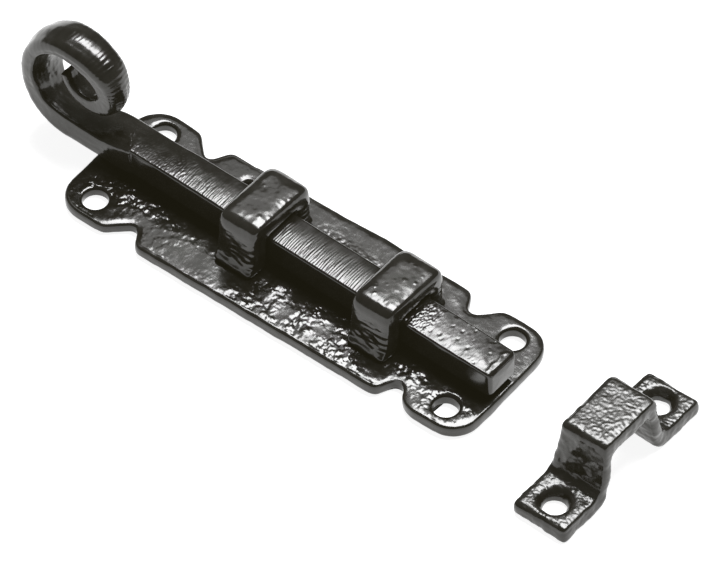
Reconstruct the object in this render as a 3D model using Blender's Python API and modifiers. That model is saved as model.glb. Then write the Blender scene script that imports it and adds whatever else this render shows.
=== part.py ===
"""Straight door bolt with a curled handle, two guide staples, a backplate and a strap keeper.

Frame: metres, +Z out of the door face, +X along the bolt's line of travel towards the nose and
the keeper, origin on the backplate's back face, under the bolt and at the plate's mid-length.
"""
import math

import bmesh
import bpy
import numpy as np
from mathutils import Vector

MM = 0.001
CLEAR = 0.3 * MM                    # gap between pieces that touch

# Backplate
PLATE_LENGTH = 100.8 * MM
PLATE_WIDTH = 30.8 * MM
PLATE_THICKNESS = 3.0 * MM
PLATE_EDGE_ROUND = 0.7 * MM
PLATE_YAW = math.radians(1.6)       # the plate lies slightly askew to the bolt's line
PLATE_SHIFT_Y = -0.4 * MM
PLATE_HOLE_SPACING_X = 87.4 * MM
PLATE_HOLE_SPACING_Y = 21.5 * MM
PLATE_HOLE_RADIUS = 2.65 * MM
PIT_RADIUS = 1.6 * MM               # small drilled pit beside the bolt
PIT_DEPTH = 1.6 * MM
PIT_X = -22.0 * MM
PIT_Y = 10.5 * MM

# Bolt bar
BAR_WIDTH = 8.4 * MM
BAR_HEIGHT = 6.4 * MM
BAR_BOTTOM = 4.6 * MM               # above the back face
BAR_NOSE_X = 50.2 * MM
BAR_ROUND = 0.55 * MM
BAR_CROWN = 0.25 * MM

# Guide staples
GUIDE_LENGTH = 9.5 * MM
GUIDE_WIDTH = 17.0 * MM
GUIDE_TOP = 15.2 * MM
GUIDE_CORNER = 2.3 * MM
GUIDE_BAR_GAP = 0.75 * MM           # each side of the bar, before the shift
GUIDE_SHIFT_Y = 0.4 * MM            # the bar lies closer to the near legs
GUIDE_ROOF_GAP = 0.35 * MM
GUIDE_FLARE = 1.2 * MM
GUIDE_EDGE_ROUND = 0.9 * MM
GUIDE_X = {"rear_guide": -10.4 * MM, "front_guide": 23.3 * MM}
TENON_LENGTH = 5.0 * MM
TENON_WIDTH = 2.0 * MM

# Friction spring under the bar
SPRING_THICKNESS = 0.4 * MM
SPRING_WIDTH = 5.0 * MM
SPRING_START_X = -4.2 * MM
SPRING_END_X = 16.5 * MM
SPRING_FOOT = 5.0 * MM
SPRING_RISE = 0.55 * MM
RIVET_SHANK_RADIUS = 1.1 * MM
RIVET_HEAD_RADIUS = 1.9 * MM
RIVET_HEAD_HEIGHT = 0.45 * MM

# Keeper
KEEPER_X = 75.1 * MM
KEEPER_Y = 0.9 * MM
KEEPER_SPAN = 42.2 * MM             # foot tip to foot tip
KEEPER_BASE_LENGTH = 12.5 * MM      # along X at the feet
KEEPER_TOP_LENGTH = 10.0 * MM       # along X at the crown
KEEPER_HEIGHT = 15.2 * MM
KEEPER_FOOT_THICKNESS = 3.0 * MM
KEEPER_TOP_HALF = 7.8 * MM
KEEPER_MOUTH_HEIGHT = 12.1 * MM
KEEPER_MOUTH_TOP_HALF = 5.9 * MM
KEEPER_MOUTH_BASE_HALF = 8.1 * MM
KEEPER_MOUTH_BASE_ROUND = 3.4 * MM  # the strap is bent, so its foot turns up in a round
KEEPER_HOLE_SPACING = 32.2 * MM
KEEPER_HOLE_RADIUS = 2.7 * MM
KEEPER_SINK_RADIUS = 3.8 * MM
KEEPER_SINK_DEPTH = 1.5 * MM


def clear_scene():
    for obj in list(bpy.data.objects):
        bpy.data.objects.remove(obj, do_unlink=True)


def new_collection(name):
    collection = bpy.data.collections.new(name)
    bpy.context.scene.collection.children.link(collection)
    return collection


def make_material(name, color, roughness, metallic=0.0):
    material = bpy.data.materials.new(name)
    material.use_nodes = True
    shader = material.node_tree.nodes["Principled BSDF"]
    shader.inputs["Base Color"].default_value = (*color, 1.0)
    shader.inputs["Roughness"].default_value = roughness
    shader.inputs["Metallic"].default_value = metallic
    material.diffuse_color = (*color, 1.0)
    return material


def add_object(name, mesh, collection, material=None, parent=None, location=(0, 0, 0)):
    obj = bpy.data.objects.new(name, mesh)
    obj.location = location
    obj.parent = parent
    collection.objects.link(obj)
    if material:
        mesh.materials.append(material)
    return obj


def mesh_from_bmesh(name, bm):
    bmesh.ops.recalc_face_normals(bm, faces=bm.faces)
    mesh = bpy.data.meshes.new(name)
    bm.to_mesh(mesh)
    bm.free()
    return mesh


def shade(mesh, degrees=35.0):
    mesh.shade_smooth()
    mesh.set_sharp_from_angle(angle=math.radians(degrees))


def rounded_outline(corners, step_degrees=18.0):
    """Closed outline through (x, y, radius) corners, each rounded by an arc of that radius."""
    points = []
    count = len(corners)
    for index, (x, y, radius) in enumerate(corners):
        corner = Vector((x, y))
        if radius == 0.0:
            points.append(corner)
            continue
        before = Vector(corners[index - 1][:2]) - corner
        after = Vector(corners[(index + 1) % count][:2]) - corner
        before.normalize()
        after.normalize()
        half = before.angle(after) / 2.0
        centre = corner + (before + after).normalized() * (radius / math.sin(half))
        start = corner + before * (radius / math.tan(half)) - centre
        end = corner + after * (radius / math.tan(half)) - centre
        turn = math.atan2(start.x * end.y - start.y * end.x, start.dot(end))
        steps = max(2, math.ceil(abs(math.degrees(turn)) / step_degrees))
        for k in range(steps + 1):
            angle = turn * k / steps
            cos_a, sin_a = math.cos(angle), math.sin(angle)
            arm = Vector((start.x * cos_a - start.y * sin_a, start.x * sin_a + start.y * cos_a))
            points.append(centre + arm)
    return points


def extruded_outline(name, points, thickness):
    """Solid of a flat outline, from z = 0 up to the thickness."""
    curve = bpy.data.curves.new(name + "_outline", "CURVE")
    curve.dimensions = "2D"
    curve.fill_mode = "BOTH"
    curve.extrude = thickness / 2.0
    spline = curve.splines.new("POLY")
    spline.points.add(len(points) - 1)
    for point, place in zip(spline.points, points):
        point.co = (place[0], place[1], 0.0, 1.0)
    spline.use_cyclic_u = True
    carrier = bpy.data.objects.new(name + "_outline", curve)
    bpy.context.scene.collection.objects.link(carrier)
    carrier.location.z = thickness / 2.0
    bpy.context.view_layer.update()
    evaluated = carrier.evaluated_get(bpy.context.evaluated_depsgraph_get())
    mesh = bpy.data.meshes.new_from_object(evaluated)
    mesh.transform(carrier.matrix_world)
    bpy.data.objects.remove(carrier, do_unlink=True)
    bpy.data.curves.remove(curve)
    bm = bmesh.new()
    bm.from_mesh(mesh)
    bmesh.ops.remove_doubles(bm, verts=bm.verts, dist=1e-6)
    bmesh.ops.recalc_face_normals(bm, faces=bm.faces)
    bm.to_mesh(mesh)
    bm.free()
    mesh.name = name
    return mesh


def section_solid(name, points, length):
    """Solid with a YZ outline, centred on x = 0 and running along X."""
    mesh = extruded_outline(name, points, length)
    for vertex in mesh.vertices:
        across, up, along = vertex.co
        vertex.co = (along - length / 2.0, across, up)
    return mesh


def bevel_edges(obj, width, segments, wanted):
    """Rounds the edges that the test picks, by bevel weight."""
    bm = bmesh.new()
    bm.from_mesh(obj.data)
    layer = bm.edges.layers.float.new("bevel_weight_edge")
    for edge in bm.edges:
        if len(edge.link_faces) == 2 and wanted(edge):
            edge[layer] = 1.0
    bm.to_mesh(obj.data)
    bm.free()
    bevel = obj.modifiers.new("rounded_edges", "BEVEL")
    bevel.limit_method = "WEIGHT"
    bevel.width = width
    bevel.segments = segments
    return bevel


def cut(obj, cutter):
    boolean = obj.modifiers.new("cut_" + cutter.name, "BOOLEAN")
    boolean.operation = "DIFFERENCE"
    boolean.solver = "EXACT"
    boolean.object = cutter


def make_cutter(name, bm, collection, parent=None, location=(0, 0, 0)):
    cutter = add_object(name, mesh_from_bmesh(name, bm), collection, None, parent, location)
    cutter.hide_render = True
    cutter.display_type = "WIRE"
    return cutter


def cylinder_bmesh(radius, bottom, top, places=((0.0, 0.0),), sides=24, top_radius=None):
    bm = bmesh.new()
    for x, y in places:
        made = bmesh.ops.create_cone(
            bm, cap_ends=True, segments=sides, radius1=radius,
            radius2=radius if top_radius is None else top_radius, depth=top - bottom)
        bmesh.ops.translate(bm, verts=made["verts"], vec=(x, y, (top + bottom) / 2.0))
    return bm


def box_bmesh(boxes):
    """Boxes given as (low corner, high corner)."""
    bm = bmesh.new()
    for low, high in boxes:
        low, high = Vector(low), Vector(high)
        made = bmesh.ops.create_cube(bm, size=1.0)
        bmesh.ops.scale(bm, verts=made["verts"], vec=high - low)
        bmesh.ops.translate(bm, verts=made["verts"], vec=(low + high) / 2.0)
    return bm


def plate_outline():
    """Plate with two ogee notches on each long side, mirrored from one quarter."""
    half_length = PLATE_LENGTH / 2.0
    half_width = PLATE_WIDTH / 2.0
    quarter = [
        (half_length, half_width, 5.8 * MM),
        (38.3 * MM, half_width, 2.4 * MM),
        (32.7 * MM, 10.0 * MM, 1.8 * MM),
        (29.7 * MM, half_width, 1.6 * MM),
    ]
    corners = list(quarter)
    corners += [(-x, y, r) for x, y, r in reversed(quarter)]
    corners += [(-x, -y, r) for x, y, r in quarter]
    corners += [(x, -y, r) for x, y, r in reversed(quarter)]
    return rounded_outline(corners)


def leg_centre():
    """Distance from the bolt's line to the middle of a guide's leg."""
    inner = BAR_WIDTH / 2.0 + GUIDE_BAR_GAP
    return (inner + GUIDE_WIDTH / 2.0) / 2.0


def tenon_boxes(centre_x, shift_y, grow, bottom, top):
    boxes = []
    for side in (-1.0, 1.0):
        middle = shift_y + side * leg_centre()
        low = (centre_x - TENON_LENGTH / 2.0 - grow, middle - TENON_WIDTH / 2.0 - grow, bottom)
        high = (centre_x + TENON_LENGTH / 2.0 + grow, middle + TENON_WIDTH / 2.0 + grow, top)
        boxes.append((low, high))
    return boxes


def make_backplate(parts, cutters, plate_place, iron):
    mesh = extruded_outline("backplate", plate_outline(), PLATE_THICKNESS)
    plate = add_object("backplate", mesh, parts, iron, plate_place)

    def top_rim(edge):
        high = all(v.co.z > PLATE_THICKNESS - 1e-6 for v in edge.verts)
        return high and edge.calc_face_angle() > math.radians(60.0)

    through = (-1.0 * MM, PLATE_THICKNESS + 1.0 * MM)
    corners = []
    for side_x in (-0.5, 0.5):
        for side_y in (-0.5, 0.5):
            corners.append((side_x * PLATE_HOLE_SPACING_X, side_y * PLATE_HOLE_SPACING_Y))
    holes = cylinder_bmesh(PLATE_HOLE_RADIUS, *through, corners)
    cut(plate, make_cutter("plate_screw_holes", holes, cutters, plate_place))
    pit = cylinder_bmesh(PIT_RADIUS, PLATE_THICKNESS - PIT_DEPTH, through[1], sides=16)
    cut(plate, make_cutter("plate_pit", pit, cutters, plate_place, (PIT_X, PIT_Y, 0.0)))
    for name, centre_x in GUIDE_X.items():
        slots = box_bmesh(tenon_boxes(centre_x, GUIDE_SHIFT_Y, CLEAR, *through))
        cut(plate, make_cutter(name + "_slots", slots, cutters))
    rivet_hole = cylinder_bmesh(RIVET_SHANK_RADIUS + CLEAR, *through, sides=16)
    place = (rivet_x(), 0.0, 0.0)
    cut(plate, make_cutter("spring_rivet_hole", rivet_hole, cutters, None, place))
    bevel_edges(plate, PLATE_EDGE_ROUND, 2, top_rim)
    shade(mesh)


def guide_outline():
    """Section of a staple: an arch with rounded shoulders and legs that flare at the plate."""
    half = GUIDE_WIDTH / 2.0
    inner = BAR_WIDTH / 2.0 + GUIDE_BAR_GAP
    roof = BAR_BOTTOM + BAR_HEIGHT + GUIDE_ROOF_GAP
    foot = PLATE_THICKNESS + CLEAR
    corners = [
        (-half - GUIDE_FLARE, foot, 0.0),
        (-inner, foot, 0.0),
        (-inner, roof, 0.8 * MM),
        (inner, roof, 0.8 * MM),
        (inner, foot, 0.0),
        (half + GUIDE_FLARE, foot, 0.0),
        (half, foot + 2.0 * GUIDE_FLARE, 1.5 * MM),
        (half, GUIDE_TOP, GUIDE_CORNER),
        (-half, GUIDE_TOP, GUIDE_CORNER),
        (-half, foot + 2.0 * GUIDE_FLARE, 1.5 * MM),
    ]
    return rounded_outline(corners, 22.5)


def make_guide(name, centre_x, parts, cutters, iron):
    mesh = section_solid(name, guide_outline(), GUIDE_LENGTH)
    guide = add_object(name, mesh, parts, iron, None, (centre_x, GUIDE_SHIFT_Y, 0.0))
    inner = BAR_WIDTH / 2.0 + GUIDE_BAR_GAP
    roof = BAR_BOTTOM + BAR_HEIGHT + GUIDE_ROOF_GAP
    foot = PLATE_THICKNESS + CLEAR

    def outer_rim(edge):
        a, b = (v.co for v in edge.verts)
        across = abs(a.x - b.x) < 1e-6
        outside = max(abs(a.y), abs(b.y)) > inner + 1e-5 or min(a.z, b.z) > roof + 1e-5
        at_foot = max(a.z, b.z) < foot + 1e-5
        return across and outside and not at_foot and edge.calc_face_angle() > 1.0

    bevel_edges(guide, GUIDE_EDGE_ROUND, 3, outer_rim)
    tenons = box_bmesh(tenon_boxes(centre_x, GUIDE_SHIFT_Y, 0.0, 0.0, foot + 1.0 * MM))
    tool = make_cutter(name + "_tenons", tenons, cutters)
    join = guide.modifiers.new("tenons", "BOOLEAN")
    join.operation = "UNION"
    join.solver = "EXACT"
    join.object = tool
    shade(mesh)


# Middle line of the handle in the bolt's XZ plane, from the neck round the curl to its tip:
# x, z, thickness, width, how far the outer face is domed and the section's shift along Y, in
# millimetres. The tip is drawn out thin and cut off askew.
CURL = [
    (-42.0, 7.80, 6.40, 8.4, 0.0, 0.0),
    (-44.5, 7.35, 5.60, 8.4, 0.0, 0.0),
    (-48.0, 6.50, 4.60, 8.4, 0.0, 0.0),
    (-53.5, 5.70, 4.40, 8.4, 0.1, 0.0),
    (-61.0, 5.85, 4.60, 8.3, 0.15, 0.0),
    (-66.4, 9.0, 4.70, 8.3, 0.5, 0.0),
    (-67.8, 16.0, 4.00, 8.2, 0.8, 0.0),
    (-65.6, 22.7, 3.60, 8.1, 1.0, 0.0),
    (-60.4, 26.9, 3.30, 7.9, 1.0, 0.0),
    (-54.6, 27.1, 3.20, 7.3, 0.8, 0.0),
    (-50.1, 24.4, 3.70, 6.4, 0.6, 0.0),
    (-48.6, 19.8, 4.20, 5.3, 0.4, 0.0),
    (-49.7, 15.9, 3.90, 5.0, 0.3, 0.0),
    (-52.9, 13.9, 3.00, 5.4, 0.2, 0.3),
    (-56.3, 14.2, 2.30, 6.0, 0.2, 0.6),
    (-58.8, 16.4, 1.70, 6.0, 0.1, 0.6),
    (-59.9, 18.9, 1.00, 3.6, 0.1, -0.6),
]
CURL_STEPS = 6                      # sections between two points of the middle line


def smooth_rows(rows, steps):
    """Catmull-Rom curve through the rows, with end rows repeated."""
    rows = np.array(rows, dtype=float)
    padded = np.vstack([2 * rows[0] - rows[1], rows, 2 * rows[-1] - rows[-2]])
    result = []
    for index in range(1, len(padded) - 2):
        p0, p1, p2, p3 = padded[index - 1:index + 3]
        for k in range(steps):
            t = k / steps
            result.append(0.5 * (2 * p1 + (p2 - p0) * t + (2 * p0 - 5 * p1 + 4 * p2 - p3) * t ** 2
                                 + (3 * p1 - p0 - 3 * p2 + p3) * t ** 3))
    result.append(rows[-1])
    return np.array(result)


def bar_section(thickness, width, rounding, crown, dome):
    """Rounded rectangle as (across, up) points, crowned on top and domed underneath."""
    half_w = width / 2.0
    half_t = thickness / 2.0
    inner_w = half_w * 0.4
    points = []
    for first_angle, side, level in ((-90, 1, -1), (0, 1, 1), (90, -1, 1), (180, -1, -1)):
        for k in range(3):
            angle = math.radians(first_angle + 45 * k)
            across = side * (half_w - rounding) + rounding * math.cos(angle)
            up = level * (half_t - rounding) + rounding * math.sin(angle)
            points.append((across, up))
        if side > 0 and level > 0:
            points += [(inner_w, half_t + crown), (-inner_w, half_t + crown)]
    points += [(-inner_w, -half_t - dome), (inner_w, -half_t - dome)]
    return points


def make_bolt(parts, iron):
    """Bar and handle as one forging: sections lofted from the nose to the curl's tip."""
    width = BAR_WIDTH / MM
    height = BAR_HEIGHT / MM
    middle = BAR_BOTTOM / MM + height / 2.0
    nose = BAR_NOSE_X / MM
    end_round = 0.6
    bar = [
        (nose, middle - 0.3, height - 2.0 * end_round, width - 2.0 * end_round, 0.0, 0.0),
        (nose - 0.2, middle - 0.12, height - end_round, width - 0.7 * end_round, 0.0, 0.0),
        (nose - 0.8, middle, height, width, 0.0, 0.0),
        (nose - 30.0, middle, height, width, 0.0, 0.0),
        (nose - 60.0, middle, height, width, 0.0, 0.0),
    ]
    rows = np.vstack([np.array(bar), smooth_rows(CURL, CURL_STEPS)])
    bm = bmesh.new()
    rings = []
    for index, (x, z, thickness, across_width, dome, shift) in enumerate(rows):
        ahead = rows[min(index + 1, len(rows) - 1)][:2]
        behind = rows[max(index - 1, 0)][:2]
        along = Vector((ahead[0] - behind[0], ahead[1] - behind[1])).normalized()
        if index < len(bar):
            along = Vector((-1.0, 0.0))
        up = Vector((along.y, -along.x))
        rounding = min(BAR_ROUND / MM, 0.3 * thickness)
        ring = []
        section = bar_section(thickness, across_width, rounding, BAR_CROWN / MM, dome)
        for across, lift in section:
            place = Vector((x, 0.0, z)) + Vector((up.x, 0.0, up.y)) * lift
            ring.append(bm.verts.new((place.x * MM, (across + shift) * MM, place.z * MM)))
        rings.append(ring)
    for first, second in zip(rings, rings[1:]):
        count = len(first)
        for k in range(count):
            bm.faces.new((first[k], first[(k + 1) % count], second[(k + 1) % count], second[k]))
    bm.faces.new(rings[0])
    bm.faces.new(rings[-1])
    mesh = mesh_from_bmesh("bolt", bm)
    add_object("bolt", mesh, parts, iron)
    shade(mesh)


def rivet_x():
    return SPRING_START_X + SPRING_FOOT / 2.0


def make_friction_spring(parts, cutters, steel):
    """Leaf that bears on the underside of the bar: a riveted foot and a bowed tongue."""
    seat = PLATE_THICKNESS + CLEAR
    bow_start = SPRING_START_X + SPRING_FOOT
    bow_length = SPRING_END_X - bow_start
    lower = [(SPRING_START_X, seat)]
    steps = 10
    for k in range(steps + 1):
        t = k / steps
        lower.append((bow_start + t * bow_length, seat + SPRING_RISE * math.sin(math.pi * t)))
    outline = lower + [(x, z + SPRING_THICKNESS) for x, z in reversed(lower)]
    mesh = extruded_outline("friction_spring", outline, SPRING_WIDTH)
    for vertex in mesh.vertices:
        along, up, across = vertex.co
        vertex.co = (along, SPRING_WIDTH / 2.0 - across, up)
    spring = add_object("friction_spring", mesh, parts, steel)
    hole = cylinder_bmesh(RIVET_SHANK_RADIUS + CLEAR, 0.0, seat + 2.0 * MM, sides=16)
    place = (rivet_x(), 0.0, 0.0)
    cut(spring, make_cutter("spring_hole", hole, cutters, None, place))


def make_spring_rivet(parts, steel):
    """Turned rivet: a flat head over the spring's foot and a shank flush with the back face."""
    head_bottom = PLATE_THICKNESS + CLEAR + SPRING_THICKNESS + CLEAR * 0.5
    head_top = head_bottom + RIVET_HEAD_HEIGHT
    profile = [
        (0.0, head_top),
        (RIVET_HEAD_RADIUS * 0.75, head_top),
        (RIVET_HEAD_RADIUS, head_bottom + 0.15 * MM),
        (RIVET_HEAD_RADIUS, head_bottom),
        (RIVET_SHANK_RADIUS, head_bottom),
        (RIVET_SHANK_RADIUS, 0.0),
        (0.0, 0.0),
    ]
    mesh = bpy.data.meshes.new("spring_rivet")
    edges = [(k, k + 1) for k in range(len(profile) - 1)]
    mesh.from_pydata([(radius, 0.0, z) for radius, z in profile], edges, [])
    rivet = add_object("spring_rivet", mesh, parts, steel, None, (rivet_x(), 0.0, 0.0))
    screw = rivet.modifiers.new("turned", "SCREW")
    screw.axis = "Z"
    screw.steps = 16
    screw.render_steps = 16
    screw.use_merge_vertices = True
    screw.merge_threshold = 0.00001


def keeper_outline():
    """Section of the keeper across the bolt: two feet, two splayed legs and a flat crown."""
    tip = KEEPER_SPAN / 2.0
    foot = KEEPER_FOOT_THICKNESS
    right = [
        (KEEPER_MOUTH_BASE_HALF, 0.0, KEEPER_MOUTH_BASE_ROUND),
        (tip, 0.0, 0.0),
        (tip, foot, 0.9 * MM),
        (9.9 * MM, foot, 2.8 * MM),
        (8.6 * MM, 8.5 * MM, 4.0 * MM),
        (KEEPER_TOP_HALF, KEEPER_HEIGHT, 1.0 * MM),
    ]
    roof = (KEEPER_MOUTH_TOP_HALF, KEEPER_MOUTH_HEIGHT, 1.4 * MM)
    corners = list(right)
    corners += [(-y, z, r) for y, z, r in reversed(right)]
    corners += [(-roof[0], roof[1], roof[2]), roof]
    return rounded_outline(corners, 22.5)


def make_keeper(parts, cutters, iron):
    mesh = section_solid("keeper", keeper_outline(), KEEPER_BASE_LENGTH)
    taper = 1.0 - KEEPER_TOP_LENGTH / KEEPER_BASE_LENGTH
    for vertex in mesh.vertices:
        vertex.co.x *= 1.0 - taper * vertex.co.z / KEEPER_HEIGHT
    keeper = add_object("keeper", mesh, parts, iron, None, (KEEPER_X, KEEPER_Y, 0.0))
    tip = KEEPER_SPAN / 2.0

    def rim(edge):
        a, b = (v.co for v in edge.verts)
        upper = min(a.z, b.z) > 1e-5
        across = abs(a.x - b.x) < 0.5 * MM
        at_tip = min(abs(a.y), abs(b.y)) > tip - 1e-5
        return edge.calc_face_angle() > 0.9 and ((across and upper) or at_tip and not across)

    bevel_edges(keeper, 0.55 * MM, 2, rim)
    places = [(0.0, -KEEPER_HOLE_SPACING / 2.0), (0.0, KEEPER_HOLE_SPACING / 2.0)]
    holes = cylinder_bmesh(KEEPER_HOLE_RADIUS, -1.0 * MM, KEEPER_FOOT_THICKNESS + 1.0 * MM, places)
    origin = (KEEPER_X, KEEPER_Y, 0.0)
    cut(keeper, make_cutter("keeper_screw_holes", holes, cutters, None, origin))
    slope = (KEEPER_SINK_RADIUS - KEEPER_HOLE_RADIUS) / KEEPER_SINK_DEPTH
    over = 0.5 * MM
    sinks = cylinder_bmesh(
        KEEPER_HOLE_RADIUS, KEEPER_FOOT_THICKNESS - KEEPER_SINK_DEPTH,
        KEEPER_FOOT_THICKNESS + over, places, top_radius=KEEPER_SINK_RADIUS + slope * over)
    cut(keeper, make_cutter("keeper_countersinks", sinks, cutters, None, origin))
    shade(mesh)


def main():
    clear_scene()
    parts = new_collection("door_bolt")
    cutters = new_collection("cutters")
    iron = make_material("black_japanned_iron", (0.021, 0.020, 0.017), 0.28)
    bar_iron = make_material("black_japanned_bar", (0.023, 0.022, 0.019), 0.24)
    keeper_iron = make_material("black_japanned_keeper", (0.020, 0.019, 0.017), 0.30)
    steel = make_material("spring_steel", (0.32, 0.33, 0.35), 0.35, 1.0)

    plate_place = bpy.data.objects.new("plate_place", None)
    plate_place.location = (0.0, PLATE_SHIFT_Y, 0.0)
    plate_place.rotation_euler = (0.0, 0.0, PLATE_YAW)
    parts.objects.link(plate_place)

    make_backplate(parts, cutters, plate_place, iron)
    for name, centre_x in GUIDE_X.items():
        make_guide(name, centre_x, parts, cutters, iron)
    make_bolt(parts, bar_iron)
    make_friction_spring(parts, cutters, steel)
    make_spring_rivet(parts, steel)
    make_keeper(parts, cutters, keeper_iron)


main()
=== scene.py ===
"""Looks of the black iron door bolt and its keeper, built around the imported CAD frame.

Each iron piece is its CAD node remeshed finely, softened like thick paint, and carved with
the dents, pits and file marks of painted cast and forged iron. Lengths are in millimetres
until a mesh is written.
"""

import itertools
import math

import bmesh
import bpy
import numpy as np
from mathutils import Matrix, Vector, kdtree


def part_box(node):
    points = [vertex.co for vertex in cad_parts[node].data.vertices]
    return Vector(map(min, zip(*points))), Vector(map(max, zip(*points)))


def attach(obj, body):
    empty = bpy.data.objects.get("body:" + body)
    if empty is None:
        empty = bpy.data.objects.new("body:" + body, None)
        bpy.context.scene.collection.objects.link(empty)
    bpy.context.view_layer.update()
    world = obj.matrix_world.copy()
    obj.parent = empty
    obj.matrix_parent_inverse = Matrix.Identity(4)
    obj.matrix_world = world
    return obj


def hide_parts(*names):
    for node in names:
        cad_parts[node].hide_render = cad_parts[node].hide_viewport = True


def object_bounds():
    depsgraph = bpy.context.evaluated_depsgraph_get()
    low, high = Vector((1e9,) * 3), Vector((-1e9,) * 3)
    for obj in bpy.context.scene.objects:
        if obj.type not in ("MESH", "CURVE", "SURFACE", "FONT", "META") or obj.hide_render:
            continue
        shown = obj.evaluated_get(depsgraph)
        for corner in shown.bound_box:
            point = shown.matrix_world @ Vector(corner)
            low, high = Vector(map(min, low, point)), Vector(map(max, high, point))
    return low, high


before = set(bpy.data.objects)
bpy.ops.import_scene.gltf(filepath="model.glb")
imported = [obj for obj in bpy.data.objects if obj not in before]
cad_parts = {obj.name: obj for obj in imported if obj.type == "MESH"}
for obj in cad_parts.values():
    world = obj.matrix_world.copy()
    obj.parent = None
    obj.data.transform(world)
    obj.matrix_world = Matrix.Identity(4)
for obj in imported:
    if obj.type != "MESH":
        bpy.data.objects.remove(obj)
cad_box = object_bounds()

MM = 0.001
WELD = 0.002                        # CAD corners closer than this become one
SETTLE_ROUNDS = 4                   # averaging that takes the voxel steps out of a fine copy
RELIEF_SPAN = 0.15                  # height of relief that covers the paint's colour range


# ---------------------------------------------------------------- noise and masks

def ramp(low, high, value):
    """0 below low, 1 above high, smooth between; low may be above high."""
    t = np.clip((value - low) / (high - low), 0.0, 1.0)
    return t * t * (3.0 - 2.0 * t)


def band(low, high, soft, value):
    """1 between low and high, falling to 0 over soft outside each."""
    return ramp(low - soft, low, value) * ramp(high + soft, high, value)


def spot(points, centre, spread):
    """1 at centre, falling like a bell over spread; both are per-axis."""
    away = (points[:, :len(centre)] - np.array(centre)) / np.array(spread)
    return np.exp(-(away ** 2).sum(axis=1))


def lattice(seed):
    """The seed's shuffled order, gradient directions and offset for noise()."""
    rng = np.random.default_rng(seed)
    order = rng.permutation(256)
    arrows = rng.normal(size=(256, 3))
    arrows /= np.linalg.norm(arrows, axis=1)[:, None]
    return order, arrows, rng.uniform(0, 64, 3)


def noise(points, size, seed):
    """Smooth gradient noise, roughly -1 to 1, whose features are size across (one or per axis)."""
    order, arrows, offset = lattice(seed)
    q = points / np.array(size) + offset
    cell = np.floor(q).astype(np.int64)
    part = q - cell
    fade = part ** 3 * (part * (part * 6.0 - 15.0) + 10.0)
    total = np.zeros(len(points))
    for corner in itertools.product((0, 1), repeat=3):
        step = np.array(corner)
        x, y, z = ((cell + step) & 255).T
        arrow = arrows[order[(order[(order[x] + y) & 255] + z) & 255]]
        weight = np.where(step == 1, fade, 1.0 - fade).prod(axis=1)
        total += weight * (arrow * (part - step)).sum(axis=1)
    return total * 1.9


def pebbles(points, size, seed):
    """Rounded humps between sharp creases, 0 to about 1."""
    return np.abs(noise(points, size, seed))


# ---------------------------------------------------------------- meshes

def fine_copy(node, name, voxel):
    """A closed, evenly fine mesh of a CAD node, in millimetres."""
    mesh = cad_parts[node].data.copy()
    mesh.materials.clear()
    mesh.transform(Matrix.Scale(1.0 / MM, 4))
    bm = bmesh.new()
    bm.from_mesh(mesh)
    bmesh.ops.remove_doubles(bm, verts=bm.verts, dist=WELD)
    bm.to_mesh(mesh)
    bm.free()
    coarse = bpy.data.objects.new(name, mesh)
    bpy.context.scene.collection.objects.link(coarse)
    remesh = coarse.modifiers.new("Remesh", "REMESH")
    remesh.mode = "VOXEL"
    remesh.voxel_size = voxel
    graph = bpy.context.evaluated_depsgraph_get()
    fine = bpy.data.meshes.new_from_object(coarse.evaluated_get(graph))
    bpy.data.objects.remove(coarse)
    bpy.data.meshes.remove(mesh)
    fine.name = name
    return fine


def thin_below(mesh, level, share):
    """Merges triangles of the hidden flat underside, below level, until share of all is left."""
    coarse = bpy.data.objects.new("thinned", mesh)
    bpy.context.scene.collection.objects.link(coarse)
    under = coarse.vertex_groups.new(name="under")
    under.add(np.flatnonzero(read_points(mesh)[:, 2] < level).tolist(), 1.0, "REPLACE")
    decimate = coarse.modifiers.new("Decimate", "DECIMATE")
    decimate.ratio = share
    decimate.vertex_group = "under"
    graph = bpy.context.evaluated_depsgraph_get()
    light = bpy.data.meshes.new_from_object(coarse.evaluated_get(graph))
    name = mesh.name
    bpy.data.objects.remove(coarse)
    bpy.data.meshes.remove(mesh)
    light.name = name
    return light


def read_points(mesh):
    points = np.zeros(len(mesh.vertices) * 3, np.float32)
    mesh.vertices.foreach_get("co", points)
    return points.reshape(-1, 3).astype(float)


def write_points(mesh, points):
    mesh.vertices.foreach_set("co", points.astype(np.float32).ravel())
    mesh.update()


def read_normals(mesh):
    normals = np.zeros(len(mesh.vertices) * 3, np.float32)
    mesh.vertices.foreach_get("normal", normals)
    return normals.reshape(-1, 3).astype(float)


class Smoother:
    """Averages values or points over a mesh's edges."""

    def __init__(self, mesh):
        edges = np.zeros(len(mesh.edges) * 2, np.int32)
        mesh.edges.foreach_get("vertices", edges)
        first, second = edges.reshape(-1, 2).T
        self.one = np.concatenate([first, second])
        self.other = np.concatenate([second, first])
        self.count = len(mesh.vertices)
        self.degree = np.bincount(self.one, minlength=self.count)

    def mean(self, values):
        columns = [np.bincount(self.one, weights=column[self.other], minlength=self.count)
                   for column in values.T]
        return np.stack(columns, axis=1) / self.degree[:, None]

    def soften(self, points, rounds, keep=None):
        """Plain averaging, which rounds edges; keep is 0 where a point may move freely."""
        share = 0.5 if keep is None else 0.5 * (1.0 - keep)[:, None]
        for _ in range(rounds):
            points = points + share * (self.mean(points) - points)
        return points

    def settle(self, points, rounds):
        """Averaging that removes the voxel steps and hardly shrinks the shape."""
        for _ in range(rounds):
            points = points + 0.5 * (self.mean(points) - points)
            points = points - 0.52 * (self.mean(points) - points)
        return points


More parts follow.
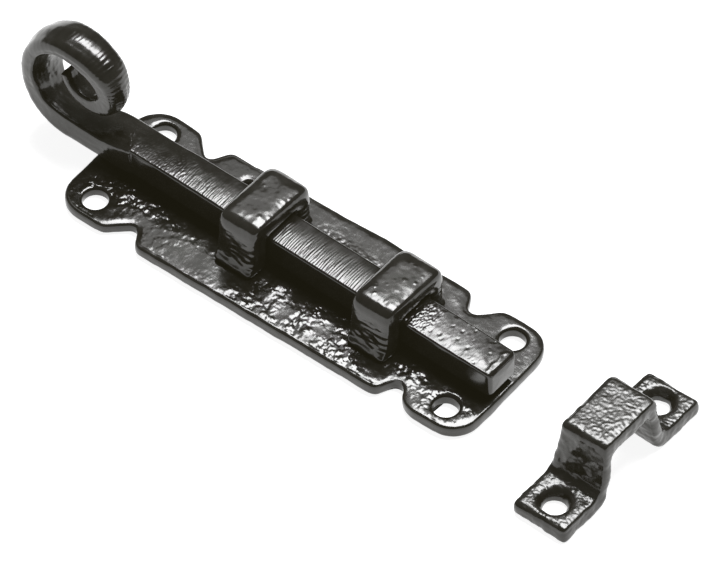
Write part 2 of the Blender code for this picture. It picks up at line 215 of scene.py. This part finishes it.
def scatter(points, where, count, radius, depth, seed):
    """Dents (depth below 0) or lumps at random points where the mask allows, as heights."""
    rng = np.random.default_rng(seed)
    chance = np.clip(where, 0.0, None)
    chosen = rng.choice(len(points), size=count, p=chance / chance.sum())
    tree = kdtree.KDTree(len(points))
    for index, point in enumerate(points):
        tree.insert(point, index)
    tree.balance()
    heights = np.zeros(len(points))
    for index in chosen:
        reach = rng.uniform(*radius)
        drop = depth * rng.uniform(0.5, 1.0) * reach / radius[1]
        for _, near, distance in tree.find_range(points[index], reach):
            shape = drop * (1.0 - (distance / reach) ** 2) ** 2
            if abs(shape) > abs(heights[near]):
                heights[near] = shape
    return heights


def finish_piece(mesh, points, heights, material, body, nodes):
    """Stores the mesh in metres and gives the piece its material, body and replaced nodes."""
    write_points(mesh, points)
    relief = mesh.attributes.new("relief", "FLOAT", "POINT")
    share = np.clip(heights / RELIEF_SPAN + 0.5, 0, 1)
    relief.data.foreach_set("value", share.astype(np.float32))
    mesh.transform(Matrix.Scale(MM, 4))
    mesh.materials.append(material)
    mesh.shade_smooth()
    piece = bpy.data.objects.new(mesh.name, mesh)
    bpy.context.scene.collection.objects.link(piece)
    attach(piece, body)
    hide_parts(*nodes)


# ---------------------------------------------------------------- materials

PAINT_DARK = (0.0034, 0.0031, 0.0026)       # where the relief is low
PAINT_LIGHT = (0.0095, 0.0090, 0.0080)      # where the relief is high
STEEL_DARK = (0.16, 0.15, 0.14)
STEEL_LIGHT = (0.32, 0.31, 0.30)


def node_material(name):
    """A new material with its nodes, its links and its shader."""
    material = bpy.data.materials.new(name)
    material.use_nodes = True
    nodes = material.node_tree.nodes
    return material, nodes, material.node_tree.links, nodes["Principled BSDF"]


def map_range(nodes, links, source, low, high, out_low, out_high):
    scale = nodes.new("ShaderNodeMapRange")
    scale.inputs["From Min"].default_value = low
    scale.inputs["From Max"].default_value = high
    scale.inputs["To Min"].default_value = out_low
    scale.inputs["To Max"].default_value = out_high
    links.new(source, scale.inputs["Value"])
    return scale.outputs["Result"]


def noise_node(nodes, links, size_mm, detail, stretch=(1, 1, 1)):
    place = nodes.new("ShaderNodeTexCoord")
    mapping = nodes.new("ShaderNodeMapping")
    mapping.inputs["Scale"].default_value = stretch
    texture = nodes.new("ShaderNodeTexNoise")
    texture.inputs["Scale"].default_value = 1.0 / (size_mm * MM)
    texture.inputs["Detail"].default_value = detail
    links.new(place.outputs["Object"], mapping.inputs["Vector"])
    links.new(mapping.outputs["Vector"], texture.inputs["Vector"])
    return texture.outputs["Fac"]


def paint_material(name, gloss, grain_mm, grain_height_mm, stretch=(1, 1, 1)):
    """Black paint over iron: warm near-black, its gloss uneven, a fine skin over the relief."""
    material, nodes, links, shader = node_material(name)
    relief = nodes.new("ShaderNodeAttribute")
    relief.attribute_name = "relief"
    mottle = noise_node(nodes, links, 3.0, 3.0)
    mix = nodes.new("ShaderNodeMix")
    mix.data_type = "RGBA"
    mix.inputs["A"].default_value = (*PAINT_DARK, 1.0)
    mix.inputs["B"].default_value = (*PAINT_LIGHT, 1.0)
    # colour darker where the relief is low and lighter where it is high, varied by a mottle
    relief_tone = nodes.new("ShaderNodeMath")
    relief_tone.operation = "MULTIPLY"
    links.new(map_range(nodes, links, relief.outputs["Fac"], 0.35, 1.0, 0.0, 1.0), relief_tone.inputs[0])
    links.new(map_range(nodes, links, mottle, 0.35, 0.65, 0.3, 1.0), relief_tone.inputs[1])
    links.new(relief_tone.outputs["Value"], mix.inputs["Factor"])
    links.new(mix.outputs["Result"], shader.inputs["Base Color"])
    sheen = map_range(nodes, links, mottle, 0.3, 0.7, *gloss)
    links.new(sheen, shader.inputs["Roughness"])
    bump = nodes.new("ShaderNodeBump")
    bump.inputs["Distance"].default_value = grain_height_mm * MM
    links.new(noise_node(nodes, links, grain_mm, 2.0, stretch), bump.inputs["Height"])
    links.new(bump.outputs["Normal"], shader.inputs["Normal"])
    return material


def steel_material():
    """Drawn spring steel, its grain along the strip."""
    material, nodes, links, shader = node_material("spring_steel")
    grain = noise_node(nodes, links, 1.2, 4.0, (0.15, 1, 1))
    mix = nodes.new("ShaderNodeMix")
    mix.data_type = "RGBA"
    mix.inputs["A"].default_value = (*STEEL_DARK, 1.0)
    mix.inputs["B"].default_value = (*STEEL_LIGHT, 1.0)
    links.new(grain, mix.inputs["Factor"])
    links.new(mix.outputs["Result"], shader.inputs["Base Color"])
    shader.inputs["Metallic"].default_value = 1.0
    links.new(map_range(nodes, links, grain, 0.3, 0.7, 0.28, 0.5), shader.inputs["Roughness"])
    return material


cast_paint = paint_material("cast_black", (0.09, 0.21), 0.45, 0.007)
bar_paint = paint_material("bar_black", (0.12, 0.24), 0.30, 0.004, (1, 0.15, 1))
keeper_paint = paint_material("keeper_black", (0.17, 0.27), 0.40, 0.006)
steel = steel_material()


# ---------------------------------------------------------------- backplate

def box_mm(node):
    low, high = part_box(node)
    return np.array(low) / MM, np.array(high) / MM


PLATE_VOXEL = 0.214
PLATE_ROUNDING = 40                 # rounds of averaging that roll its rims
PLATE_PAINT = 0.42                  # thickness that gives the rounded rims their outline back
UNDERSIDE = 0.15                    # how deep the flat, hidden back reaches
BACK_SHARE = 0.46                   # triangles left after the back is thinned
HOLES = [(-43.3, -12.0), (-43.9, 9.5), (44.1, -9.5), (43.5, 12.0)]
HOLE_KEEP = (3.4, 4.2)              # the paint's thickness starts this far from a hole's middle
LEAST_ROUGH, MOST_ROUGH = 0.06, 1.1
# Rougher places of the sand casting: strength, middle and spread.
ROUGH_SPOTS = [
    (0.45, (-24.0, -7.0), (9.0, 2.5)),
    (1.00, (-44.0, -8.0), (6.0, 5.0)),
    (0.80, (32.5, -7.5), (3.6, 3.0)),
    (1.10, (5.0, 7.6), (9.0, 2.2)),
    (0.45, (42.0, -10.0), (6.0, 5.0)),
    (0.80, (-37.0, -6.5), (8.0, 2.5)),
    (0.50, (24.0, -12.5), (5.0, 2.5)),
]
# Where the casting's outline strays from the drawn one: axis, distance, middle, spread and
# whether only the side faces move.
OUTLINE_PUSHES = [
    (1, 0.5, (-44.0, 14.5), (6.0, 3.0), False),
    (0, -1.0, (36.8, -13.8), (1.8, 2.6), True),
    (1, 1.0, (32.3, -12.6), (2.4, 1.8), True),
    (1, -1.0, (34.1, 13.5), (2.4, 1.8), True),
    (1, -0.7, (-24.5, 14.6), (4.5, 1.8), True),
    (1, 0.5, (8.0, 15.4), (8.0, 1.5), False),
]


def plate_roughness(points, near):
    """How strongly the sand shows at each point of the plate's face."""
    patches = ramp(-0.6, 0.2, noise(points, 4.5, 12))
    rough = 0.10 + 0.24 * ramp(-0.25, 0.45, noise(points, 6.0, 11)) * (0.15 + 0.85 * near)
    rough += 0.60 * near * band(-5.0, 17.0, 5.0, points[:, 0]) * patches
    for strength, middle, spread in ROUGH_SPOTS:
        rough += strength * spot(points, middle, spread)
    return np.clip(rough, LEAST_ROUGH, MOST_ROUGH)


def bend_plate(points, near, side, back):
    """The casting is not quite flat or true to its outline; its back stays flat."""
    upper = ramp(1.0, 2.5, points[:, 2])
    points[:, 2] -= 0.014 * np.clip(points[:, 1] - 3.0, 0.0, None) * upper
    points[:, 2] -= 0.017 * np.clip(-12.0 - points[:, 0], 0.0, 20.0) * upper
    points[:, 2] += 0.016 * np.clip(points[:, 0] - 36.0, 0.0, None) * upper * near
    for axis, distance, middle, spread, side_only in OUTLINE_PUSHES:
        reach = side if side_only else 1.0
        points[:, axis] += distance * spot(points, middle, spread) * reach
    points[:, 2] = np.maximum(points[:, 2], back)
    return points


def make_plate():
    """Sand-cast plate: a rough, glossy face between smooth rolled rims, drilled holes."""
    mesh = fine_copy("backplate", "backplate_skin", PLATE_VOXEL)
    low, high = box_mm("backplate")
    smoother = Smoother(mesh)
    points = smoother.settle(read_points(mesh), SETTLE_ROUNDS)
    write_points(mesh, smoother.soften(points, PLATE_ROUNDING))
    mesh = thin_below(mesh, low[2] + UNDERSIDE, BACK_SHARE)
    points = read_points(mesh)
    normals = read_normals(mesh)
    top = ramp(0.90, 0.99, normals[:, 2]) * ramp(high[2] - 0.8, high[2] - 0.35, points[:, 2])
    side = ramp(0.75, 0.35, np.abs(normals[:, 2]))
    near = ramp(-1.0, -6.0, points[:, 1])
    forward = near * ramp(-16.0, -2.0, points[:, 0])
    lumps = 0.10 * noise(points, 1.1, 23) + 0.12 * pebbles(points, 0.62, 24)
    lumps += 0.10 * forward * noise(points, 2.3, 28)
    waves = 0.08 * noise(points, 9.0, 21)
    waves += (0.012 + 0.035 * forward) * noise(points, 3.6, 22)
    heights = top * waves
    heights += top * lumps * plate_roughness(points, near)
    to_hole = np.min([np.hypot(*(points[:, :2] - hole).T) for hole in HOLES], axis=0)
    heights += PLATE_PAINT * (1.0 - normals[:, 2] ** 2) * ramp(*HOLE_KEEP, to_hole)
    heights += side * (0.10 * noise(points, 6.0, 25) + 0.03 * noise(points, 1.6, 26))
    heights += 0.02 * noise(points, 2.5, 27) * (1.0 - top) * (1.0 - side)
    points = points + normals * heights[:, None]
    points = bend_plate(points, near, side, low[2])
    finish_piece(mesh, points, heights, cast_paint, "base", ["backplate"])


# ---------------------------------------------------------------- guides

GUIDE_VOXEL = 0.22
GUIDE_ROUNDING = 115
GUIDE_PAINT = 0.45
FOOT_FILLET = 0.35
FOOT_RISE = 2.6                     # height over the plate that the paint fillet reaches
PASSAGE_TOP = 11.72                 # the opening that lets the bar and its neck slide through
PASSAGE_HALF_WIDTH = 4.80
PASSAGE_SILL = 0.3                  # the opening starts this far over the plate


def clear_of_bar(points, plate_top):
    """Moves points out of the passage that the sliding bar needs, through its nearest wall."""
    y = points[:, 1].copy()
    z = points[:, 2].copy()
    inside = (np.abs(y) < PASSAGE_HALF_WIDTH) & (z < PASSAGE_TOP) & (z > plate_top + PASSAGE_SILL)
    up = PASSAGE_TOP - z
    aside = PASSAGE_HALF_WIDTH - np.abs(y)
    points[:, 2] = np.where(inside & (up <= aside), PASSAGE_TOP, z)
    points[:, 1] = np.where(inside & (up > aside), np.sign(y) * PASSAGE_HALF_WIDTH, y)
    return points


def make_guide(node, seed):
    """Cast staple: smooth painted crown, streaky legs and paint fillets at its feet."""
    mesh = fine_copy(node, node + "_skin", GUIDE_VOXEL)
    low, high = box_mm(node)
    middle = (low + high) / 2.0
    smoother = Smoother(mesh)
    points = smoother.settle(read_points(mesh), SETTLE_ROUNDS)
    plate_top = box_mm("backplate")[1][2]
    keep = ramp(plate_top + 0.3, plate_top - 0.2, points[:, 2])
    points = smoother.soften(points, GUIDE_ROUNDING, keep)
    write_points(mesh, points)
    normals = read_normals(mesh)
    upright = ramp(0.75, 0.35, np.abs(normals[:, 2]))
    crown = ramp(0.3, 0.9, normals[:, 2])
    along = points[:, 0] - middle[0]
    across = points[:, 1] - middle[1]
    lean = 0.030 * along - 0.026 * across
    inward = normals[:, 1] * across + normals[:, 2] * (points[:, 2] - BAR_MIDDLE)
    outer = ramp(-1.0, 1.0, inward + np.abs(normals[:, 0]) * 20.0)
    swell = 0.05 * noise(points, 3.6, seed) + 0.018 * noise(points, 1.1, seed + 1)
    streaks = 0.08 * noise(points, (2.2, 3.0, 0.9), seed + 3) * ramp(12.5, 9.0, points[:, 2])
    heights = GUIDE_PAINT * outer + crown * lean + swell + upright * streaks
    roof = crown * ramp(12.0, 14.0, points[:, 2])
    heights += scatter(points, roof, 20, (0.35, 0.8), 0.08, seed + 4)
    near_face = ramp(0.0, 0.8, -normals[:, 1]) * outer
    splay = 0.06 * np.clip(12.0 - points[:, 2], 0.0, None) * near_face
    fillet = FOOT_FILLET * ramp(plate_top + FOOT_RISE, plate_top, points[:, 2]) ** 2 * (1.0 - keep)
    points = points + normals * heights[:, None] + normals * (1, 1, 0) * fillet[:, None]
    points[:, 1] -= splay * (1.0 - keep)
    points = clear_of_bar(points, plate_top)
    points[:, 2] = np.maximum(points[:, 2], low[2])
    finish_piece(mesh, points, heights, cast_paint, "base", [node])


# ---------------------------------------------------------------- bolt

BAR_WIDTH = 8.4
BAR_HEIGHT = 6.4
BAR_MIDDLE = 7.8                    # height of the bar's middle line over the plate's back
NOSE_X = 50.2
NOSE_ROUND = 1.4                    # length of the rounded end
NOSE_CUT = 1.0                      # how far its faces fall in at the end
BAR_ROUND = 0.5
BAR_CROWN = 0.20
NECK_X = -42.0                      # the straight bar ends and the handle starts
NECK_START = (-28.0, -38.0)         # the bar grows lower and wider between these
# The handle's middle line: x, z, thickness, width, dome of its outer face, shift along Y and
# how far its inner face leans over.
CURL = [
    (-42.0, 7.65, 6.10, 8.5, 0.0, 0.0, 0.15),
    (-45.3, 7.25, 5.80, 8.6, 0.0, 0.0, 0.14),
    (-49.0, 6.45, 4.95, 8.8, 0.0, 0.0, 0.20),
    (-53.5, 5.70, 4.40, 8.4, 0.1, 0.0, 0.24),
    (-61.0, 5.85, 4.60, 8.3, 0.15, 0.0, 0.26),
    (-66.4, 9.0, 4.70, 8.3, 0.5, 0.0, 0.14),
    (-68.1, 16.0, 4.40, 8.6, 0.55, 0.0, -0.12),
    (-65.8, 22.9, 4.10, 8.6, 0.50, 0.0, -0.26),
    (-60.4, 27.3, 3.80, 8.6, 0.45, 0.0, -0.18),
    (-54.4, 27.4, 3.80, 8.2, 0.45, 0.0, 0.0),
    (-49.8, 24.5, 4.30, 7.3, 0.40, 0.0, 0.0),
    (-48.4, 19.8, 4.60, 5.8, 0.4, 0.0, 0.0),
    (-49.7, 15.9, 3.90, 5.0, 0.3, 0.0, 0.15),
    (-52.9, 13.9, 3.00, 5.4, 0.2, 0.3, 0.28),
    (-56.3, 14.2, 2.30, 6.0, 0.2, 0.6, 0.25),
    (-58.8, 16.4, 1.70, 6.0, 0.1, 0.6, 0.10),
    (-59.9, 18.9, 1.00, 3.6, 0.1, -0.6, 0.0),
]
FILE_STEP = 0.11                    # spacing of sections along the filed bar
CURL_STEPS = 27                     # sections between two points of the handle's middle line
CAP_RINGS = 14
CAP_BULGE = 0.12
NECK_SLANT = 0.9                    # the scoop behind the bar runs askew: shift in X per Y
BURR = (29.6, -4.1, 11.1)           # metal pushed up by the front guide


def smooth_rows(rows, steps):
    """Catmull-Rom curve through the rows, with its end rows carried on straight."""
    rows = np.array(rows, dtype=float)
    padded = np.vstack([2 * rows[0] - rows[1], rows, 2 * rows[-1] - rows[-2]])
    result = []
    for index in range(1, len(padded) - 2):
        p0, p1, p2, p3 = padded[index - 1:index + 3]
        t = (np.arange(steps) / steps)[:, None]
        result.append(0.5 * (2 * p1 + (p2 - p0) * t + (2 * p0 - 5 * p1 + 4 * p2 - p3) * t ** 2
                             + (3 * p1 - p0 - 3 * p2 + p3) * t ** 3))
    return np.vstack(result + [rows[-1:]])


def section_points(thickness, width, dome, lean, rounding, crown):
    """One section as (across, up) rows: rounded corners, crowned top, domed underside."""
    half_w = width / 2.0
    half_t = thickness / 2.0
    flat_w = half_w - rounding
    flat_t = half_t - rounding
    roll = min(rounding + 3.0 * dome, 0.45 * thickness)
    s = np.linspace(-1.0, 1.0, 10)[1:-1]
    top_s = np.linspace(-1.0, 1.0, 30)[1:-1]
    arc = np.radians(np.linspace(0.0, 90.0, 5))
    parts = []
    rolled_w = half_w - roll
    rolled_t = half_t - roll
    climb = (s + 1.0) / 2.0 * (flat_t + rolled_t) - rolled_t
    parts.append(np.stack([s * rolled_w, -half_t - dome * (1 - s ** 2)], 1))
    parts.append(np.stack([rolled_w + roll * np.sin(arc), -rolled_t - roll * np.cos(arc)], 1))
    parts.append(np.stack([np.full_like(s, half_w), climb], 1))
    parts.append(np.stack([flat_w + rounding * np.cos(arc), flat_t + rounding * np.sin(arc)], 1))
    parts.append(np.stack([-top_s * flat_w, half_t + crown * (1 - top_s ** 2)], 1))
    parts.append(np.stack([-flat_w - rounding * np.sin(arc), flat_t + rounding * np.cos(arc)], 1))
    parts.append(np.stack([np.full_like(s, -half_w), climb[::-1]], 1))
    parts.append(np.stack([-rolled_w - roll * np.cos(arc), -rolled_t - roll * np.sin(arc)], 1))
    points = np.vstack(parts)
    inner = np.clip(points[:, 1] / max(half_t, 1e-6), 0.0, 1.0)
    points[:, 1] -= lean * points[:, 0] * inner
    return points


def bar_lean(x):
    """Slope of the top across the bar: it falls away from the near side, most at the neck."""
    level = 0.020 + 0.04 * float(ramp(-16.0, -26.0, x)) + 0.09 * float(ramp(-27.0, -37.0, x))
    return level - 0.023 * float(ramp(22.0, 28.0, x)) + 0.025 * float(ramp(36.0, 47.0, x))


def bolt_rows():
    """Every section's centre, size and way, from the nose's face to the curl's tip."""
    bend = np.sin(np.linspace(math.pi / 2, 0.0, 12))
    nose_x = NOSE_X - NOSE_ROUND * (1.0 - bend)
    shrink = NOSE_CUT * (1.0 - np.sqrt(1.0 - bend ** 2))
    rows = [(x, BAR_MIDDLE - 0.2 * cut, BAR_HEIGHT - 2 * cut, BAR_WIDTH - 2 * cut, 0.0, 0.0,
             bar_lean(x)) for x, cut in zip(nose_x, shrink)]
    count = round((NOSE_X - NOSE_ROUND - NECK_X) / FILE_STEP)
    straight = np.linspace(NOSE_X - NOSE_ROUND, NECK_X, count)[1:-1]
    forged = [float(ramp(*NECK_START, x)) for x in straight]
    rows += [(x, BAR_MIDDLE - 0.15 * more, BAR_HEIGHT - 0.3 * more, BAR_WIDTH + 0.1 * more,
              0.0, 0.0, bar_lean(x)) for x, more in zip(straight, forged)]
    return np.vstack([np.array(rows), smooth_rows(CURL, CURL_STEPS)])


def bolt_mesh():
    """The loft's mesh, with each point's distance along the middle line and height across it."""
    rows = bolt_rows()
    ahead = np.vstack([rows[1:, :2], rows[-1:, :2]]) - np.vstack([rows[:1, :2], rows[:-1, :2]])
    ahead[rows[:, 0] > NECK_X + 0.01] = (-1.0, 0.0)
    ahead /= np.linalg.norm(ahead, axis=1)[:, None]
    steps = np.linalg.norm(np.diff(rows[:, :2], axis=0), axis=1)
    travel = np.concatenate([[0.0], np.cumsum(steps)]) - (NOSE_X - NECK_X)
    rings = []
    layers = []
    for (x, z, thickness, width, dome, shift, lean), (dx, dz) in zip(rows, ahead):
        rounding = min(BAR_ROUND, 0.3 * thickness)
        across, up = section_points(thickness, width, dome, lean, rounding, BAR_CROWN).T
        rings.append(np.stack([x + dz * up, across + shift, z - dx * up], 1))
        layers.append(up)
    ways = list(travel)
    for end, way in ((0, travel[0]), (-1, travel[-1])):
        centre = rings[end].mean(axis=0)
        outward = np.array([-ahead[end][0], 0.0, -ahead[end][1]]) * (1 if end == 0 else -1)
        caps = []
        for k in range(1, CAP_RINGS):
            share = 1.0 - k / CAP_RINGS
            bulge = outward * CAP_BULGE * (1 - share ** 2)
            caps.append(centre + (rings[end] - centre) * share + bulge)
        if end == 0:
            rings = caps[::-1] + rings
            ways = [way] * len(caps) + ways
            layers = layers[:1] * len(caps) + layers
        else:
            rings = rings + caps
            ways = ways + [way] * len(caps)
            layers = layers + layers[-1:] * len(caps)
    size = len(rings[0])
    points = np.vstack(rings)
    way = np.repeat(np.array(ways), size)
    faces = []
    for ring in range(len(rings) - 1):
        for k in range(size):
            a, b = ring * size + k, ring * size + (k + 1) % size
            faces.append((a, b, b + size, a + size))
    first = tuple(range(size))
    last = tuple(range(len(points) - size, len(points)))
    faces += [first[::-1], last]
    mesh = bpy.data.meshes.new("bolt_skin")
    mesh.from_pydata(points.tolist(), [], faces)
    bm = bmesh.new()
    bm.from_mesh(mesh)
    bmesh.ops.recalc_face_normals(bm, faces=bm.faces)
    bm.to_mesh(mesh)
    bm.free()
    return mesh, way, np.concatenate(layers)


def make_bolt():
    """Forged bar, filed across its top, hammered by the front guide, drawn out to a curl."""
    mesh, way, layer = bolt_mesh()
    smoother = Smoother(mesh)
    points = read_points(mesh)
    normals = read_normals(mesh)
    x, y, z = points.T
    on_curl = 1.0 - ramp(1.5, -1.5, way)
    top = ramp(0.90, 0.985, normals[:, 2]) * ramp(4.0, 1.0, way)
    flat = np.stack([way + 0.010 * y ** 2, y, 0 * z], axis=1)
    fine = noise(flat, (0.24, 4.0, 1.0), 42)
    strokes = np.sin(2.0 * math.pi * (flat[:, 0] / 0.60 + 0.45 * noise(flat, (2.0, 7.0, 1.0), 43)))
    marks = 0.6 * fine + 0.55 * strokes * ramp(-0.5, 0.3, noise(flat, (1.2, 2.5, 1.0), 57))
    reach = 0.6 * noise(points, (5.0, 2.5, 5.0), 46)
    behind_guide = band(-25.0, -15.0, 12.0, x) * ramp(3.0, 0.4, y + reach)
    short = noise(flat, (0.25, 1.5, 1.0), 61)
    between = band(-7.0, 19.0, 1.0, x) * ramp(2.6, 1.4, y + reach)
    heights = top * (0.034 * between * marks + 0.022 * behind_guide * (marks + short))
    heights += 0.013 * top * band(-42.0, -18.0, 2.0, x) * noise(points, (0.4, 0.5, 0.4), 62)
    heights += 0.030 * top * band(-45.0, -30.0, 3.0, x) * noise(points, (0.35, 0.6, 0.35), 65)
    flatter = 0.06 + 0.07 * ramp(22.0, 28.0, x)
    heights -= flatter * top * ramp(-20.0, -8.0, x) * (1.0 - (y / 4.2) ** 2)
    heights += 0.008 * top * band(-38.0, 19.0, 3.0, x) * fine
    hammered = band(27.0, 32.5, 1.6, x) * ramp(3.8, 2.6, y)
    heights += hammered * top * (0.10 * pebbles(points, 0.8, 44) + 0.05 * noise(points, 0.45, 47))
    edge_of_scoop = x + 44.0 + 0.9 * noise(points, 2.0, 63)
    neck = np.exp(-(edge_of_scoop / 0.6) ** 2) * ramp(0.5, 0.9, normals[:, 2])
    neck = neck * ramp(2.6, 0.0, y)
    heights += neck * (0.04 + 0.10 * noise(points, 0.7, 45) + 0.10 * noise(points, 0.4, 48))
    heights += 0.025 * noise(points, 5.0, 41)
    heights += 0.012 * noise(points, 1.6, 49) * ramp(0.98, 0.6, top)
    polished = top * band(33.0, 50.0, 1.5, x)
    ripple = 0.020 * noise(points, 1.5, 50) + 0.009 * noise(points, (0.5, 0.8, 0.5), 55)
    heights += polished * ripple
    heights += scatter(points, polished, 22, (0.28, 0.65), -0.09, 51)
    heights += scatter(points, polished, 10, (0.3, 0.5), 0.05, 52)
    ridge = x + 0.35 * noise(points * (0, 1, 0), 1.7, 59) - 0.02 * y ** 2
    heights += 0.09 * np.exp(-((ridge - 48.7) / 0.40) ** 2) * top * band(-3.3, 2.8, 0.6, y)
    drawn = np.stack([way, y, layer], axis=1)
    outer_marks = band(51.0, 63.0, 3.0, way) * ramp(4.2, 2.5, np.abs(y))
    facing_out = ramp(0.0, 0.5, normals[:, 0] * 0.75 + normals[:, 2] * 0.65)
    cuts = np.sin(2.0 * math.pi * (way / 0.80 + 0.4 * noise(drawn, (2.0, 3.0, 2.0), 53)))
    cuts = cuts * ramp(-1.0, 0.1, noise(drawn, (1.5, 1.8, 2.0), 60))
    heights += 0.050 * outer_marks * facing_out * cuts
    heights += 0.020 * band(44.0, 56.0, 4.0, way) * facing_out * noise(points, 0.8, 66)
    heights += on_curl * (0.10 + 0.05 * noise(points, 3.2, 54) + 0.03 * noise(points, 1.2, 58))
    streaks = 0.05 * noise(drawn, (7.0, 0.8, 0.8), 56) + 0.014 * noise(points, 0.6, 64)
    heights += on_curl * streaks
    points = points + normals * heights[:, None]
    points[:, 0] -= NECK_SLANT * y * band(-52.0, -46.0, 6.0, x) * ramp(16.0, 10.0, way)
    points += spot(points, BURR, (0.75, 0.45, 0.5))[:, None] * np.array([0.0, -0.25, 0.35])
    finish_piece(mesh, points, heights, bar_paint, "bolt", ["bolt"])


# ---------------------------------------------------------------- keeper

KEEPER_VOXEL = 0.20
KEEPER_ROUNDING = 38
KEEPER_PAINT = 0.32


def make_keeper():
    """Cast strap with an orange-peel face, softened arrises and countersunk holes."""
    mesh = fine_copy("keeper", "keeper_skin", KEEPER_VOXEL)
    low, high = box_mm("keeper")
    smoother = Smoother(mesh)
    points = smoother.settle(read_points(mesh), SETTLE_ROUNDS)
    points = smoother.soften(points, KEEPER_ROUNDING)
    write_points(mesh, points)
    normals = read_normals(mesh)
    face = ramp(0.70, 0.93, normals[:, 2])
    middle = (low + high) / 2.0
    upper = ramp(0.3, 0.9, normals[:, 2])
    lean = 0.048 * (points[:, 0] - middle[0]) - 0.005 * (points[:, 1] - middle[1])
    foot = ramp(5.0, 3.5, points[:, 2])
    peel = 0.050 * pebbles(points, 0.95, 51) + 0.030 * noise(points, 0.75, 56)
    peel += (0.010 + 0.030 * foot) * noise(points, 0.5, 52)
    front = ramp(0.4, 0.9, normals[:, 0]) * ramp(3.0, 6.0, points[:, 2])
    heights = KEEPER_PAINT + 0.35 * front + upper * lean
    heights += face * (peel + 0.03 * noise(points, 3.0, 55))
    heights += (1.0 - face) * (0.14 * noise(points, 2.4, 53) + 0.05 * noise(points, 1.0, 54))
    points = points + normals * heights[:, None]
    points[:, 2] = np.maximum(points[:, 2], low[2])
    finish_piece(mesh, points, heights, keeper_paint, "keeper", ["keeper"])


make_plate()
make_guide("rear_guide", 31)
make_guide("front_guide", 36)
make_bolt()
make_keeper()
for node in ("friction_spring", "spring_rivet"):
    for material_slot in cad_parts[node].material_slots:
        material_slot.material = steel


# ---------------------------------------------------------------- floor, light and camera

FLOOR_HALF_SIZE = 6.0
FLOOR_GAP = 0.2 * MM
FLOOR_GREY = 0.35
FLOOR_GLOW = 0.90                   # it lights itself, so that only faint shadows show
KEY_HEIGHT = 0.70
KEY_FROM = (-0.50, 0.15)            # corners of the key, as shares of its height
KEY_TO = (0.36, 0.60)
KEY_RADIANCE = 22.0
SKIRT_ABOVE_KEY = 0.02
SKIRT_FROM = (-0.78, 0.10)          # the dim cloth that frames the key
SKIRT_TO = (0.45, 0.86)
SKIRT_RADIANCE = 1.75
WORLD_GREY = 0.13
STRAY_LIGHT = (-0.0100, -0.0088, -0.0045)   # black levels: the photo's blacks are a warm grey


def make_floor():
    mesh = bpy.data.meshes.new("floor")
    bm = bmesh.new()
    bmesh.ops.create_grid(bm, x_segments=1, y_segments=1, size=FLOOR_HALF_SIZE)
    bm.to_mesh(mesh)
    bm.free()
    floor = bpy.data.objects.new("floor", mesh)
    floor.location.z = cad_box[0].z - FLOOR_GAP
    bpy.context.scene.collection.objects.link(floor)
    material, nodes, links, shader = node_material("floor_white")
    shader.inputs["Base Color"].default_value = (FLOOR_GREY, FLOOR_GREY, FLOOR_GREY, 1.0)
    shader.inputs["Roughness"].default_value = 0.9
    shader.inputs["Specular IOR Level"].default_value = 0.0
    shader.inputs["Emission Color"].default_value = (1.0, 1.0, 1.0, 1.0)
    shader.inputs["Emission Strength"].default_value = FLOOR_GLOW
    mesh.materials.append(material)


def softbox(name, place, aim, size, radiance):
    """Rectangular area light at place, facing aim, with the given radiance."""
    lamp = bpy.data.lights.new(name, "AREA")
    lamp.shape = "RECTANGLE"
    lamp.size, lamp.size_y = size
    lamp.energy = radiance * size[0] * size[1] * math.pi
    obj = bpy.data.objects.new(name, lamp)
    obj.location = place
    obj.rotation_mode = "QUATERNION"
    obj.rotation_quaternion = (Vector(aim) - Vector(place)).to_track_quat("-Z", "Y")
    bpy.context.scene.collection.objects.link(obj)


def overhead(name, height, corner, opposite, radiance):
    """A level softbox between two corners that are given as shares of its height."""
    middle = [(a + b) / 2 * height for a, b in zip(corner, opposite)]
    size = [(b - a) * height for a, b in zip(corner, opposite)]
    softbox(name, (*middle, height), (*middle, 0), size, radiance)


def make_world():
    world = bpy.data.worlds.new("studio")
    world.use_nodes = True
    background = world.node_tree.nodes["Background"]
    background.inputs["Color"].default_value = (1.0, 1.0, 1.0, 1.0)
    background.inputs["Strength"].default_value = WORLD_GREY
    bpy.context.scene.world = world


def set_view():
    """Plain view transform, its blacks lifted as by stray light in the lens."""
    view = bpy.context.scene.view_settings
    view.view_transform = "Standard"
    view.use_curve_mapping = True
    view.curve_mapping.black_level = STRAY_LIGHT
    view.curve_mapping.update()


CAMERA_AZIMUTH = math.radians(39.36)
CAMERA_ELEVATION = math.radians(49.72)
CAMERA_DISTANCE = 1.486
CAMERA_LENS = 380.2
CAMERA_TARGET = Vector((0.020, 0.000176, 0.005))
CAMERA_RIGHT = -0.00452             # the view's middle, from the target
CAMERA_UP = 0.00492


def make_camera():
    flat = math.cos(CAMERA_ELEVATION)
    back = Vector((math.sin(CAMERA_AZIMUTH) * flat, -math.cos(CAMERA_AZIMUTH) * flat,
                   math.sin(CAMERA_ELEVATION)))
    right = Vector((math.cos(CAMERA_AZIMUTH), math.sin(CAMERA_AZIMUTH), 0.0))
    up = back.cross(right)
    target = CAMERA_TARGET + CAMERA_RIGHT * right + CAMERA_UP * up
    camera = bpy.data.cameras.new("camera")
    camera.lens = CAMERA_LENS
    camera.clip_end = 20.0
    obj = bpy.data.objects.new("camera", camera)
    obj.matrix_world = Matrix.Translation(target + back * CAMERA_DISTANCE) @ Matrix(
        (right, up, back)).transposed().to_4x4()
    bpy.context.scene.collection.objects.link(obj)
    bpy.context.scene.camera = obj


make_floor()
overhead("key", KEY_HEIGHT, KEY_FROM, KEY_TO, KEY_RADIANCE)
overhead("skirt", KEY_HEIGHT + SKIRT_ABOVE_KEY, SKIRT_FROM, SKIRT_TO, SKIRT_RADIANCE)
make_world()
set_view()
make_camera()
